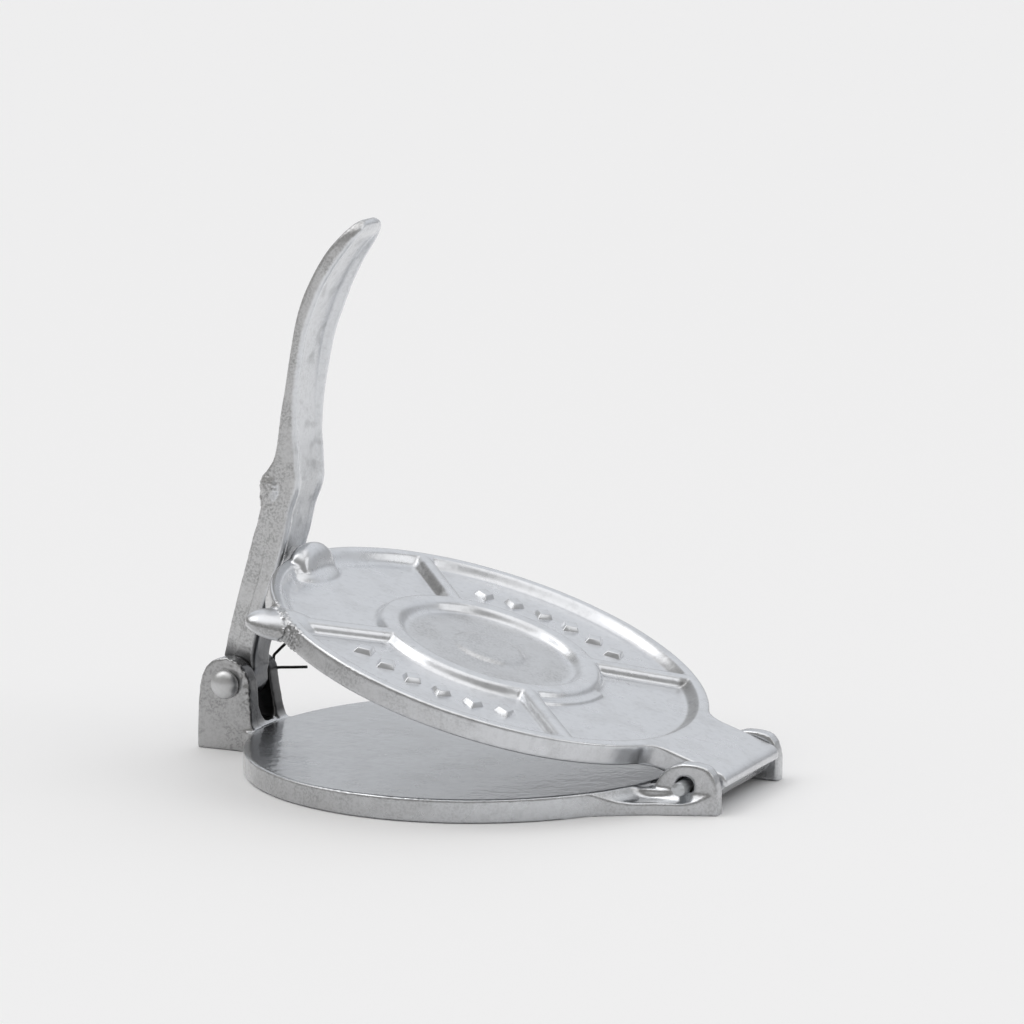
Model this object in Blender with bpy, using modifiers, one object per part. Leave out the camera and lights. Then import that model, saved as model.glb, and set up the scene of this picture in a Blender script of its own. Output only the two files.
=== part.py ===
"""Tortilla press: two cast discs hinged at one side and pressed by a folding lever.

Metres, +Z up. The origin is the centre of the base disc's underside. +X points to the hinge of the
two discs, -X to the lever, and -Y to the side with the lever pin's domed head.
"""
import math

import bmesh
import bpy
from mathutils import Matrix, Vector

# Fits
TOUCH_GAP = 0.00035
RUNNING_GAP = 0.00035
OVERRUN = 0.004
SINK = 0.001
MERGE = 0.00001

# Base disc
DISC_RADIUS = 0.0825
DISC_THICKNESS = 0.0084
DISC_EDGE = 0.0008
DISC_STEPS = 96
BASE_FLOOR = 0.0044
BASE_RIM_WIDTH = 0.0055
BASE_SLOPE = 0.0012
HUB_RADIUS = 0.016
RIB_WIDTH = 0.005
RIB_SETBACK = 0.0006
WALL_ANGLES = [math.radians(a) for a in (43, 136, -130, -43)]

# Clevis that holds the lever
LEVER_SETBACK = 0.0105
LEVER_PIVOT_X = -(DISC_RADIUS + LEVER_SETBACK)
LEVER_PIVOT_Z = 0.0246
CLEVIS_HALF_WIDTH = 0.0136
CLEVIS_GAP = 0.0140
CLEVIS_GAP_FLOOR = 0.0092
CLEVIS_GAP_ROUND_NEAR = 0.0060
CLEVIS_GAP_ROUND_FAR = 0.0022
NEAR_EAR_RADIUS = 0.0098
FAR_EAR_RADIUS = 0.0070
CLEVIS_FOOT_BACK = 0.0124
CLEVIS_FOOT_FRONT = 0.0103
CLEVIS_FILLET = 0.0018
CLEVIS_BLEND = 0.0085
BLEND_POINTS = 6

# Hinge of the two discs
HINGE_SETBACK = 0.0108
HINGE_X = DISC_RADIUS + HINGE_SETBACK
HINGE_Z = 0.0092
HINGE_PIN_RADIUS = 0.00245
LUG_THICKNESS = 0.0058
LUG_TOP = 0.0172
LUG_FRONT = 0.0122
LUG_BORE_RADIUS = 0.0033
LUG_BORE_RAISE = 0.0003
FOOT_HEIGHT = 0.0050
FOOT_REACH = 0.0115
FOOT_SPREAD = 0.0187

# Lid disc, in its closed place
LID_MARGIN = 0.0015
LID_RADIUS = DISC_RADIUS - LID_MARGIN
LID_CENTRE_X = -0.0008
LID_THICKNESS = 0.0080
LID_EDGE = 0.0009
LID_OPEN = math.radians(18.5)
LID_RIM_WIDTH = 0.0042
RECESS_DEPTH = 0.0035
RECESS_SLOPE = 0.0030
RING_OUTER = 0.0396
RING_WIDTH = 0.0059
RING_SLOPE = 0.0022
CENTRE_DEPTH = 0.0030
WALL_TOP_WIDTH = 0.0050
WALL_SLOPE = 0.0020
BOSS_RADIUS = 0.0135
BOSS_SLOPE = 0.0020
BOSS_HEIGHT = 0.0014

# Row of raised lozenges in the near and the far sector
MARK_LENGTH = 0.0085
MARK_WIDTH = 0.0052
MARK_HEIGHT = 0.0018
MARK_TOP_SHARE = 0.55
MARK_COUNT = 6
MARK_PITCH = math.radians(11.5)

# Neck and tail of the lid
NECK_HALF_WIDTH = 0.0244
NECK_SIDE_GAP = 0.0006
NECK_BLEND = 0.0055
KNUCKLE_RADIUS = 0.0062
KNUCKLE_END = math.radians(-62)
TAIL_REACH = 0.0124
TAIL_ROUND = 0.0036
TAIL_STEPS = 8

# Pad under the lever and the lifting tab
PAD_HALF_WIDTH = 0.0105
PAD_TOP = 0.0209
PAD_LENGTH = 0.0155
PAD_OVERHANG = 0.0016
PAD_CORNER_LENGTH = 0.0050
TAB_ANGLE = math.radians(-131.5)
TAB_REACH = 0.0126
TAB_ROOT = 0.0030
TAB_HALF_WIDTH = 0.0075
TAB_HALF_HEIGHT = 0.0040
TAB_RAISE = 0.0042

# Lever
LEVER_LENGTH = 0.1810
BAR_THICKNESS = 0.0120
LEVER_BOSS_RADIUS = 0.0070
HANDLE_HALF_WIDTH = 0.0110
LEVER_SIDE_GAP = 0.0004
CHANNEL_DEPTH = 0.0016
CHANNEL_FLANGE = 0.0026
LEVER_EDGE = 0.0010
FAR_FLANGE_RISE = 0.0010
LEVER_BORE_RADIUS = 0.00285

# Pins
LEVER_PIN_RADIUS = 0.0025
PIN_HEAD_RADIUS = 0.0053
PIN_HEAD_HEIGHT = 0.0045
HINGE_HEAD_RADIUS = 0.0038
HINGE_HEAD_HEIGHT = 0.0024
PIN_CHAMFER = 0.0004
LEVER_PIN_OVERHANG = 0.0060
HINGE_PIN_OVERHANG = 0.0052
PIN_STEPS = 32
COTTER_HOLE_RADIUS = 0.0015
COTTER_HOLE_OFFSET = 0.0020
COTTER_WIRE = 0.00055
COTTER_STRAND_GAP = 0.00022
COTTER_EYE_RADIUS = 0.0019
COTTER_EYE_REACH = 0.0030
COTTER_LEG_LENGTH = 0.0150
COTTER_BENT_LENGTH = 0.0068
COTTER_LEG_RISE = 0.0028
COTTER_BEND = 0.0014

LUG_INNER = NECK_HALF_WIDTH + NECK_SIDE_GAP
LUG_OUTER = LUG_INNER + LUG_THICKNESS
LUG_START = DISC_RADIUS - BASE_RIM_WIDTH
LID_UNDERSIDE = DISC_THICKNESS + TOUCH_GAP
LID_TOP = LID_UNDERSIDE + LID_THICKNESS
RECESS_FLOOR = LID_TOP - RECESS_DEPTH
RING_INNER = RING_OUTER - RING_WIDTH
LEVER_BOSS_HALF = CLEVIS_GAP / 2 - LEVER_SIDE_GAP
HINGE_AXIS = Vector((HINGE_X, 0, HINGE_Z))
LEVER_PIVOT = Vector((LEVER_PIVOT_X, 0, LEVER_PIVOT_Z))

for old in list(bpy.data.objects):
    bpy.data.objects.remove(old, do_unlink=True)

PRESS = bpy.data.collections.new("tortilla_press")
CUTTERS = bpy.data.collections.new("tortilla_press_cutters")
bpy.context.scene.collection.children.link(PRESS)
bpy.context.scene.collection.children.link(CUTTERS)


def paint(name, colour, roughness, metallic):
    """One Principled material."""
    made = bpy.data.materials.new(name)
    made.use_nodes = True
    shader = made.node_tree.nodes["Principled BSDF"]
    shader.inputs["Base Color"].default_value = (*colour, 1)
    shader.inputs["Roughness"].default_value = roughness
    shader.inputs["Metallic"].default_value = metallic
    return made


def tool(name, mesh):
    """A shape that is joined to, or cut from, another one."""
    made = bpy.data.objects.new(name, mesh)
    CUTTERS.objects.link(made)
    made.hide_render = True
    made.display_type = "WIRE"
    return made


def evaluated(source):
    """The mesh that an object shows with its modifiers, with loose seams welded."""
    bpy.context.view_layer.update()
    graph = bpy.context.evaluated_depsgraph_get()
    mesh = bpy.data.meshes.new_from_object(source.evaluated_get(graph))
    body = bmesh.new()
    body.from_mesh(mesh)
    bmesh.ops.remove_doubles(body, verts=body.verts, dist=MERGE)
    bmesh.ops.recalc_face_normals(body, faces=body.faces)
    body.to_mesh(mesh)
    body.free()
    return mesh


def turned(name, profile, steps=DISC_STEPS, closed=False):
    """A profile of radius and height, turned about Z by a Screw modifier."""
    count = len(profile)
    last = count if closed else count - 1
    mesh = bpy.data.meshes.new(name)
    mesh.from_pydata([(r, 0, z) for r, z in profile], [(i, (i + 1) % count) for i in range(last)], [])
    made = tool(name, mesh)
    screw = made.modifiers.new("turn", "SCREW")
    screw.axis = "Z"
    screw.angle = 2 * math.pi
    screw.steps = steps
    screw.render_steps = steps
    screw.use_merge_vertices = True
    screw.merge_threshold = MERGE
    made.data = swap(made)
    made.modifiers.clear()
    return made


def swap(made):
    """The evaluated mesh, with the plain one removed."""
    plain = made.data
    shown = evaluated(made)
    made.data = shown
    bpy.data.meshes.remove(plain)
    return shown


def extruded(name, points, low, high, plane):
    """A flat outline given thickness: plane XY along Z, XZ along Y, or YZ along X."""
    curve = bpy.data.curves.new(name, "CURVE")
    curve.dimensions = "2D"
    curve.fill_mode = "BOTH"
    curve.extrude = (high - low) / 2
    line = curve.splines.new("POLY")
    line.points.add(len(points) - 1)
    for point, (a, b) in zip(line.points, points):
        point.co = (a, b, 0, 1)
    line.use_cyclic_u = True
    flat = bpy.data.objects.new(name, curve)
    CUTTERS.objects.link(flat)
    mesh = evaluated(flat)
    bpy.data.objects.remove(flat)
    middle = (high + low) / 2
    frames = {
        "XY": Matrix(((1, 0, 0, 0), (0, 1, 0, 0), (0, 0, 1, middle), (0, 0, 0, 1))),
        "XZ": Matrix(((1, 0, 0, 0), (0, 0, -1, middle), (0, 1, 0, 0), (0, 0, 0, 1))),
        "YZ": Matrix(((0, 0, 1, middle), (1, 0, 0, 0), (0, 1, 0, 0), (0, 0, 0, 1))),
    }
    mesh.transform(frames[plane])
    return tool(name, mesh)


def cylinder(name, radius, start, end, segments=PIN_STEPS):
    """A round bar from one point to another."""
    body = bmesh.new()
    way = end - start
    turn = way.to_track_quat("Z", "Y").to_matrix().to_4x4()
    place = Matrix.Translation((start + end) / 2) @ turn
    bmesh.ops.create_cone(body, cap_ends=True, segments=segments, radius1=radius, radius2=radius,
                          depth=way.length, matrix=place)
    mesh = bpy.data.meshes.new(name)
    body.to_mesh(mesh)
    body.free()
    return tool(name, mesh)


def wedge(name, length, low_width, top_width, height, place):
    """A bar with sloped sides, standing on its wide face."""
    body = bmesh.new()
    bmesh.ops.create_cube(body, size=1)
    for vert in body.verts:
        width = top_width if vert.co.z > 0 else low_width
        vert.co = Vector((vert.co.x * length, vert.co.y * width, vert.co.z * height))
    bmesh.ops.transform(body, matrix=place, verts=body.verts)
    mesh = bpy.data.meshes.new(name)
    body.to_mesh(mesh)
    body.free()
    return tool(name, mesh)


def combine(target, other, operation):
    """A Boolean step, applied at once so that later ones start from plain faces."""
    step = target.modifiers.new(operation.lower(), "BOOLEAN")
    step.operation = operation
    step.object = other
    step.solver = "EXACT"
    swap(target)
    target.modifiers.clear()


def finish(name, made, look, axis=None, turn=0.0):
    """Moves a shape into the press, with its origin on its axis and its own material."""
    mesh = made.data
    if axis is not None:
        mesh.transform(Matrix.Translation(-axis))
    mesh.name = name
    mesh.materials.clear()
    mesh.materials.append(look)
    mesh.shade_smooth()
    mesh.set_sharp_from_angle(angle=math.radians(35))
    bpy.data.objects.remove(made)
    piece = bpy.data.objects.new(name, mesh)
    PRESS.objects.link(piece)
    if axis is not None:
        piece.location = axis
        piece.rotation_euler = (0, turn, 0)
    return piece


def arc(cx, cz, radius, start, end, count):
    """Points on an arc, both ends included."""
    return [(cx + radius * math.cos(start + (end - start) * i / count),
             cz + radius * math.sin(start + (end - start) * i / count)) for i in range(count + 1)]


def polar(radius, angle, centre_x=0.0, z=0.0):
    """A place on a circle about the disc's middle."""
    return Matrix.Translation((centre_x + radius * math.cos(angle), radius * math.sin(angle), z))


silver = paint("silver paint, base", (0.48, 0.50, 0.52), 0.30, 0.75)
silver_lid = paint("silver paint, lid", (0.50, 0.52, 0.54), 0.28, 0.75)
silver_lever = paint("silver paint, lever", (0.42, 0.43, 0.45), 0.38, 0.70)
pin_steel = paint("pin steel", (0.40, 0.41, 0.42), 0.35, 0.85)
hinge_steel = paint("hinge pin steel", (0.44, 0.46, 0.48), 0.35, 0.85)
dark_wire = paint("dark wire", (0.03, 0.03, 0.03), 0.45, 0.60)

# Base plate: a flat disc, cored out below between a rim, a hub and four ribs. Its forms start below the
# table, each at its own depth, and one cut makes the face that it stands on.
base = turned("base_disc", [
    (0, DISC_THICKNESS), (DISC_RADIUS - DISC_EDGE, DISC_THICKNESS), (DISC_RADIUS, DISC_THICKNESS - DISC_EDGE),
    (DISC_RADIUS, DISC_EDGE), (DISC_RADIUS - DISC_EDGE - SINK, -SINK), (0, -SINK)])
rim_inner = DISC_RADIUS - BASE_RIM_WIDTH
base_core_top = DISC_THICKNESS - BASE_FLOOR

# The clevis stands on the disc's edge, and its sides flow into the edge.
foot_back = LEVER_PIVOT_X - CLEVIS_FOOT_BACK
foot_front = LEVER_PIVOT_X + CLEVIS_FOOT_FRONT


def ear_outline(radius):
    """A round head about the pivot, on a foot with a small fillet towards the disc."""
    lean_back = math.atan2(CLEVIS_FOOT_BACK - radius, LEVER_PIVOT_Z)
    lean_front = math.atan2(CLEVIS_FOOT_FRONT - radius, LEVER_PIVOT_Z - DISC_THICKNESS)
    depth = SINK * 1.5
    outline = [(foot_back - SINK / 8, -depth)]
    outline += arc(LEVER_PIVOT_X, LEVER_PIVOT_Z, radius, math.pi - lean_back, lean_front, 14)
    outline += arc(foot_front + CLEVIS_FILLET, DISC_THICKNESS + CLEVIS_FILLET, CLEVIS_FILLET,
                   math.radians(195), math.radians(262), 3)
    outline += [(foot_front + CLEVIS_FILLET, DISC_THICKNESS - SINK), (-rim_inner - SINK, -depth)]
    return outline


gap_half = CLEVIS_GAP / 2
ear_split = -gap_half + SINK
combine(base, extruded("far_ear", ear_outline(FAR_EAR_RADIUS), ear_split, CLEVIS_HALF_WIDTH, "XZ"), "UNION")
near_ear = extruded("near_ear", ear_outline(NEAR_EAR_RADIUS), -CLEVIS_HALF_WIDTH, ear_split, "XZ")
combine(base, near_ear, "UNION")
blend_centre_y = CLEVIS_HALF_WIDTH + CLEVIS_BLEND
blend_centre_x = -math.sqrt((DISC_RADIUS + CLEVIS_BLEND) ** 2 - blend_centre_y ** 2)
blend_turn = math.atan2(-blend_centre_y, -blend_centre_x)
blend = arc(blend_centre_x, blend_centre_y, CLEVIS_BLEND, -math.pi / 2, blend_turn, BLEND_POINTS)
blend_inner_x = -rim_inner
for side in (1, -1):
    plan = [(x, side * y) for x, y in blend] + [(blend_inner_x, side * blend[-1][1]),
                                                (blend_inner_x, side * (CLEVIS_HALF_WIDTH - SINK)),
                                                (blend_centre_x, side * (CLEVIS_HALF_WIDTH - SINK))]
    combine(base, extruded("clevis_blend", plan, -SINK * 2, DISC_THICKNESS - DISC_EDGE, "XY"), "UNION")

# Two hinge lugs with feet that flare from the disc's edge.
lug_outline = [(LUG_START, -SINK * 2.5), (LUG_START, DISC_THICKNESS - SINK)]
lug_shoulder = HINGE_X - LUG_FRONT
lug_outline += [(lug_shoulder, DISC_THICKNESS)]
lug_rise = LUG_TOP - DISC_THICKNESS
lug_run_shares = [(0.12, 0.26), (0.28, 0.52), (0.48, 0.74), (0.70, 0.90), (0.90, 0.985), (1.08, 1.0),
                  (1.35, 1.0)]
lug_outline += [(lug_shoulder + LUG_FRONT * a, DISC_THICKNESS + lug_rise * b) for a, b in lug_run_shares]
lug_end_shares = [(0.66, 0.93), (0.83, 0.80), (0.95, 0.58), (1.0, 0.32)]
lug_outline += [(HINGE_X + LUG_FRONT * a, DISC_THICKNESS + lug_rise * b) for a, b in lug_end_shares]
lug_outline += [(HINGE_X + LUG_FRONT, -SINK * 2.5)]
for side in (1, -1):
    near, far = sorted((side * LUG_INNER, side * LUG_OUTER))
    combine(base, extruded("lug", lug_outline, near, far, "XZ"), "UNION")
    foot_x = [LUG_START - FOOT_REACH, HINGE_X - FOOT_SPREAD + SINK, HINGE_X - LUG_THICKNESS * 1.5,
              HINGE_X + LUG_FRONT]
    edge_y = math.sqrt(DISC_RADIUS ** 2 - foot_x[0] ** 2) - SINK
    foot_gain = edge_y - LUG_OUTER
    foot_shares = [1.0, 0.62, 0.36, 0.0]
    foot = [(x, side * (LUG_OUTER + foot_gain * share)) for x, share in zip(foot_x, foot_shares)]
    foot[-1] = (foot_x[-1] - SINK, side * (LUG_OUTER - SINK / 4))
    foot += [(foot_x[-1] - SINK * 2, side * (LUG_OUTER - SINK)), (foot_x[0], side * (LUG_OUTER - SINK)),
             (foot_x[0] - SINK, side * (LUG_OUTER + foot_gain / 2))]
    combine(base, extruded("lug_foot", foot, -SINK * 3, FOOT_HEIGHT, "XY"), "UNION")

# The underside is cut flat and cored, then the ribs are put back.
table_reach = HINGE_X + LUG_FRONT + CLEVIS_FOOT_BACK
table = [(-table_reach, -table_reach), (table_reach, -table_reach), (table_reach, table_reach),
         (-table_reach, table_reach)]
combine(base, extruded("table", table, -OVERRUN, 0, "XY"), "DIFFERENCE")
combine(base, turned("base_core", [
    (rim_inner + BASE_SLOPE, -OVERRUN), (rim_inner, 0), (rim_inner - BASE_SLOPE, base_core_top),
    (HUB_RADIUS + BASE_SLOPE, base_core_top), (HUB_RADIUS, 0), (HUB_RADIUS - BASE_SLOPE, -OVERRUN)][::-1],
    closed=True), "DIFFERENCE")
rib_height = base_core_top + SINK - RIB_SETBACK
rib_length = rim_inner - HUB_RADIUS + SINK * 2
for angle in WALL_ANGLES:
    place = polar((rim_inner + HUB_RADIUS) / 2, angle, 0, RIB_SETBACK + rib_height / 2)
    place = place @ Matrix.Rotation(angle, 4, "Z")
    combine(base, wedge("rib", rib_length, RIB_WIDTH, RIB_WIDTH, rib_height, place), "UNION")

# The clevis gap has a rounded floor. The bores go through both ears and both lugs.
gap_top = LEVER_PIVOT_Z + NEAR_EAR_RADIUS + OVERRUN
gap_outline = [(-gap_half, gap_top)]
gap_outline += arc(-gap_half + CLEVIS_GAP_ROUND_NEAR, CLEVIS_GAP_FLOOR + CLEVIS_GAP_ROUND_NEAR,
                   CLEVIS_GAP_ROUND_NEAR, math.pi, math.pi * 1.5, 6)
gap_outline += arc(gap_half - CLEVIS_GAP_ROUND_FAR, CLEVIS_GAP_FLOOR + CLEVIS_GAP_ROUND_FAR,
                   CLEVIS_GAP_ROUND_FAR, math.pi * 1.5, math.pi * 2, 4)
gap_outline += [(gap_half, gap_top)]
clevis_gap = extruded("clevis_gap", gap_outline, foot_back - OVERRUN, foot_front + OVERRUN, "YZ")
combine(base, clevis_gap, "DIFFERENCE")
across = Vector((0, CLEVIS_HALF_WIDTH + OVERRUN, 0))
clevis_bore = cylinder("clevis_bore", LEVER_BORE_RADIUS, LEVER_PIVOT - across, LEVER_PIVOT + across)
combine(base, clevis_bore, "DIFFERENCE")
bore_axis = HINGE_AXIS + Vector((LUG_BORE_RAISE, 0, LUG_BORE_RAISE))
across = Vector((0, LUG_OUTER + OVERRUN, 0))
lug_bore = cylinder("lug_bore", LUG_BORE_RADIUS, bore_axis - across, bore_axis + across)
combine(base, lug_bore, "DIFFERENCE")
finish("base_plate", base, silver)

# Lid plate, modelled closed: a disc and its neck, then the recesses, walls, pad and tab.
lid = turned("lid_disc", [
    (0, LID_TOP), (LID_RADIUS - LID_EDGE, LID_TOP), (LID_RADIUS, LID_TOP - LID_EDGE),
    (LID_RADIUS, LID_UNDERSIDE + LID_EDGE), (LID_RADIUS - LID_EDGE, LID_UNDERSIDE), (0, LID_UNDERSIDE)])
lid.data.transform(Matrix.Translation((LID_CENTRE_X, 0, 0)))
neck_centre_y = NECK_HALF_WIDTH + NECK_BLEND
neck_centre_x = LID_CENTRE_X + math.sqrt((LID_RADIUS + NECK_BLEND) ** 2 - neck_centre_y ** 2)
neck_turn = math.atan2(-neck_centre_y, LID_CENTRE_X - neck_centre_x)
neck_side = arc(neck_centre_x, neck_centre_y, NECK_BLEND, neck_turn, -math.pi / 2, BLEND_POINTS)
neck_back = LID_CENTRE_X + LID_RADIUS / 2
neck_plan = neck_side + [(neck_centre_x, NECK_HALF_WIDTH - SINK),
                         (neck_side[0][0] - NECK_BLEND, NECK_HALF_WIDTH - SINK),
                         (neck_side[0][0] - NECK_BLEND, neck_side[0][1] - SINK)]
for side in (1, -1):
    plan = [(x, side * y) for x, y in neck_plan]
    combine(lid, extruded("neck_blend", plan, LID_UNDERSIDE + LID_EDGE, LID_TOP - LID_EDGE, "XY"), "UNION")
tail_drop = HINGE_Z - LID_UNDERSIDE
tail_top = LID_TOP - HINGE_Z
knuckle_start = math.pi + math.asin(tail_drop / KNUCKLE_RADIUS)
tail = [(neck_back, LID_UNDERSIDE)]
tail += arc(HINGE_X, HINGE_Z, KNUCKLE_RADIUS, knuckle_start, math.pi * 2 + KNUCKLE_END, TAIL_STEPS)
tail_lip_shares = [(0.66, -0.53), (0.83, -0.05), (0.94, 0.30)]
tail += [(HINGE_X + TAIL_REACH * a, HINGE_Z + tail_top * b) for a, b in tail_lip_shares]
tail += arc(HINGE_X + TAIL_REACH - TAIL_ROUND, LID_TOP - TAIL_ROUND, TAIL_ROUND, 0, math.pi / 2, 4)
tail += [(neck_back, LID_TOP)]
combine(lid, extruded("tail", tail, -NECK_HALF_WIDTH, NECK_HALF_WIDTH, "XZ"), "UNION")
rim_in = LID_RADIUS - LID_RIM_WIDTH
trough = turned("lid_trough", [
    (rim_in, LID_TOP + OVERRUN), (rim_in, LID_TOP), (rim_in - RECESS_SLOPE, RECESS_FLOOR),
    (RING_OUTER + RING_SLOPE, RECESS_FLOOR), (RING_OUTER, LID_TOP), (RING_OUTER, LID_TOP + OVERRUN)],
    closed=True)
trough.data.transform(Matrix.Translation((LID_CENTRE_X, 0, 0)))
combine(lid, trough, "DIFFERENCE")
dish_floor = LID_TOP - CENTRE_DEPTH
dish = turned("lid_dish", [
    (0, LID_TOP + OVERRUN), (RING_INNER, LID_TOP + OVERRUN), (RING_INNER, LID_TOP),
    (RING_INNER - RING_SLOPE, dish_floor), (BOSS_RADIUS, dish_floor),
    (BOSS_RADIUS - BOSS_SLOPE, dish_floor + BOSS_HEIGHT), (0, dish_floor + BOSS_HEIGHT)])
dish.data.transform(Matrix.Translation((LID_CENTRE_X, 0, 0)))
combine(lid, dish, "DIFFERENCE")

# Four radial walls, as high as the rim and the ring, and a row of lozenges in two sectors.
wall_height = RECESS_DEPTH + SINK
wall_length = rim_in - RING_OUTER + SINK * 2
for angle in WALL_ANGLES:
    place = polar((rim_in + RING_OUTER) / 2, angle, LID_CENTRE_X, LID_TOP - wall_height / 2)
    place = place @ Matrix.Rotation(angle, 4, "Z")
    wall_low_width = WALL_TOP_WIDTH + WALL_SLOPE * 2
    wall = wedge("wall", wall_length, wall_low_width, WALL_TOP_WIDTH, wall_height, place)
    combine(lid, wall, "UNION")
mark_circle = (RING_OUTER + RING_SLOPE + rim_in - RECESS_SLOPE) / 2
for middle in (math.radians(-86.5), math.radians(89.5)):
    for index in range(MARK_COUNT):
        angle = middle + MARK_PITCH * (index - (MARK_COUNT - 1) / 2)
        place = polar(mark_circle, angle, LID_CENTRE_X, RECESS_FLOOR + (MARK_HEIGHT - SINK) / 2)
        place = place @ Matrix.Rotation(angle, 4, "Z") @ Matrix.Diagonal((MARK_LENGTH, MARK_WIDTH, 1, 1))
        body = bmesh.new()
        bmesh.ops.create_cone(body, cap_ends=True, segments=4, radius1=0.5, radius2=0.5 * MARK_TOP_SHARE,
                              depth=MARK_HEIGHT + SINK, matrix=place)
        mesh = bpy.data.meshes.new("lozenge")
        body.to_mesh(mesh)
        body.free()
        combine(lid, tool("lozenge", mesh), "UNION")

# The pad that the lever presses on, and the lifting tab.
pad_back = LID_CENTRE_X - LID_RADIUS - PAD_OVERHANG
pad_rise = PAD_TOP - LID_TOP
pad_low = LID_TOP - LID_THICKNESS / 2
pad_side_shares = [(0.02, 0.0), (0.0, 0.30), (0.06, 0.55), (0.19, 0.78), (0.33, 0.92), (0.46, 1.0),
                   (0.56, 0.92), (0.68, 0.56)]
pad = [(pad_back + PAD_OVERHANG + SINK, pad_low), (pad_back + PAD_OVERHANG, pad_low)]
pad += [(pad_back + PAD_LENGTH * a, LID_TOP + pad_rise * b) for a, b in pad_side_shares]
pad += [(pad_back + PAD_LENGTH, RECESS_FLOOR - SINK), (pad_back + PAD_OVERHANG + SINK, RECESS_FLOOR - SINK)]
pad_side = extruded("pad", pad[::-1], -PAD_HALF_WIDTH - OVERRUN, PAD_HALF_WIDTH + OVERRUN, "XZ")
pad_nose = gap_half - LEVER_SIDE_GAP
pad_plan = [(pad_back + PAD_LENGTH + OVERRUN, PAD_HALF_WIDTH), (pad_back + PAD_CORNER_LENGTH, PAD_HALF_WIDTH),
            (foot_front + TOUCH_GAP, pad_nose), (pad_back - SINK, pad_nose)]
pad_plan += [(x, -y) for x, y in reversed(pad_plan)]
combine(pad_side, extruded("pad_plan", pad_plan, 0, PAD_TOP + OVERRUN, "XY"), "INTERSECT")
combine(lid, pad_side, "UNION")
body = bmesh.new()
tab_place = polar(LID_RADIUS - TAB_ROOT, TAB_ANGLE, LID_CENTRE_X, LID_UNDERSIDE + TAB_RAISE)
tab_place = tab_place @ Matrix.Rotation(TAB_ANGLE, 4, "Z")
tab_place = tab_place @ Matrix.Diagonal((TAB_REACH + TAB_ROOT, TAB_HALF_WIDTH, TAB_HALF_HEIGHT, 1))
bmesh.ops.create_uvsphere(body, u_segments=24, v_segments=12, radius=1, matrix=tab_place)
tab_mesh = bpy.data.meshes.new("tab")
body.to_mesh(tab_mesh)
body.free()
combine(lid, tool("tab", tab_mesh), "UNION")
across = Vector((0, NECK_HALF_WIDTH + OVERRUN, 0))
knuckle_bore = HINGE_PIN_RADIUS + RUNNING_GAP
combine(lid, cylinder("knuckle_bore", knuckle_bore, HINGE_AXIS - across, HINGE_AXIS + across), "DIFFERENCE")
finish("lid_plate", lid, silver_lid, HINGE_AXIS, LID_OPEN)

# Lever: sections across the bar, set along it. Shares of the lever's length give the places,
# shares of the bar's thickness its back and front, and shares of the handle's half width its sides.
station_shares = [
    (0.015, -0.615, 0.53), (0.030, -0.65, 0.42), (0.045, -0.67, 0.36),
    (0.100, -0.69, 0.34), (0.175, -0.69, 0.31), (0.225, -0.68, 0.33), (0.260, -0.66, 0.42),
    (0.300, -0.66, 0.44), (0.335, -0.655, 0.42), (0.362, -0.65, 0.37), (0.378, -0.76, 0.35),
    (0.400, -0.84, 0.37), (0.420, -0.82, 0.40), (0.440, -0.72, 0.38), (0.462, -0.66, 0.25),
    (0.495, -0.68, 0.06), (0.525, -0.74, -0.12), (0.560, -0.82, -0.31), (0.600, -0.90, -0.46),
    (0.650, -0.99, -0.58), (0.700, -1.07, -0.67), (0.750, -1.13, -0.72), (0.795, -1.11, -0.67),
    (0.840, -1.01, -0.58), (0.885, -0.87, -0.44), (0.920, -0.74, -0.31), (0.948, -0.55, -0.18),
    (0.962, -0.42, 0.00), (0.976, -0.25, 0.27), (0.988, -0.05, 0.47), (0.996, 0.16, 0.53),
    (1.000, 0.34, 0.46)]
width_shares = [(-0.04, 0.0), (0.065, 0.0), (0.20, 0.40), (0.40, 0.88), (0.70, 0.95), (0.93, 1.0),
                (1.0, 1.0)]
tip_shares = [(0.940, 1.0), (0.962, 0.97), (0.976, 0.90), (0.988, 0.76), (0.996, 0.60), (1.0, 0.45)]
far_flange_shares = [(0.60, 0.0), (0.75, 1.0), (0.90, 1.0), (0.96, 0.0)]
channel_shares = [(-0.04, 0.0), (0.05, 0.0), (0.16, 0.35), (0.36, 0.7), (0.50, 1.0), (0.92, 1.0),
                  (0.985, 0.45), (1.0, 0.0)]


def along(table, share):
    """The value of a table of shares at one place, between its rows."""
    for (a, low), (b, high) in zip(table, table[1:]):
        if share <= b:
            return low + (high - low) * max(0.0, (share - a) / (b - a))
    return table[-1][1]


stations = [(-LEVER_BOSS_RADIUS * math.cos(a) / LEVER_LENGTH, -LEVER_BOSS_RADIUS * math.sin(a),
             LEVER_BOSS_RADIUS * math.sin(a)) for a in [math.radians(d) for d in (14, 28, 46, 68, 90)]]
stations += [(share, BAR_THICKNESS * back, BAR_THICKNESS * front) for share, back, front in station_shares]


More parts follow.
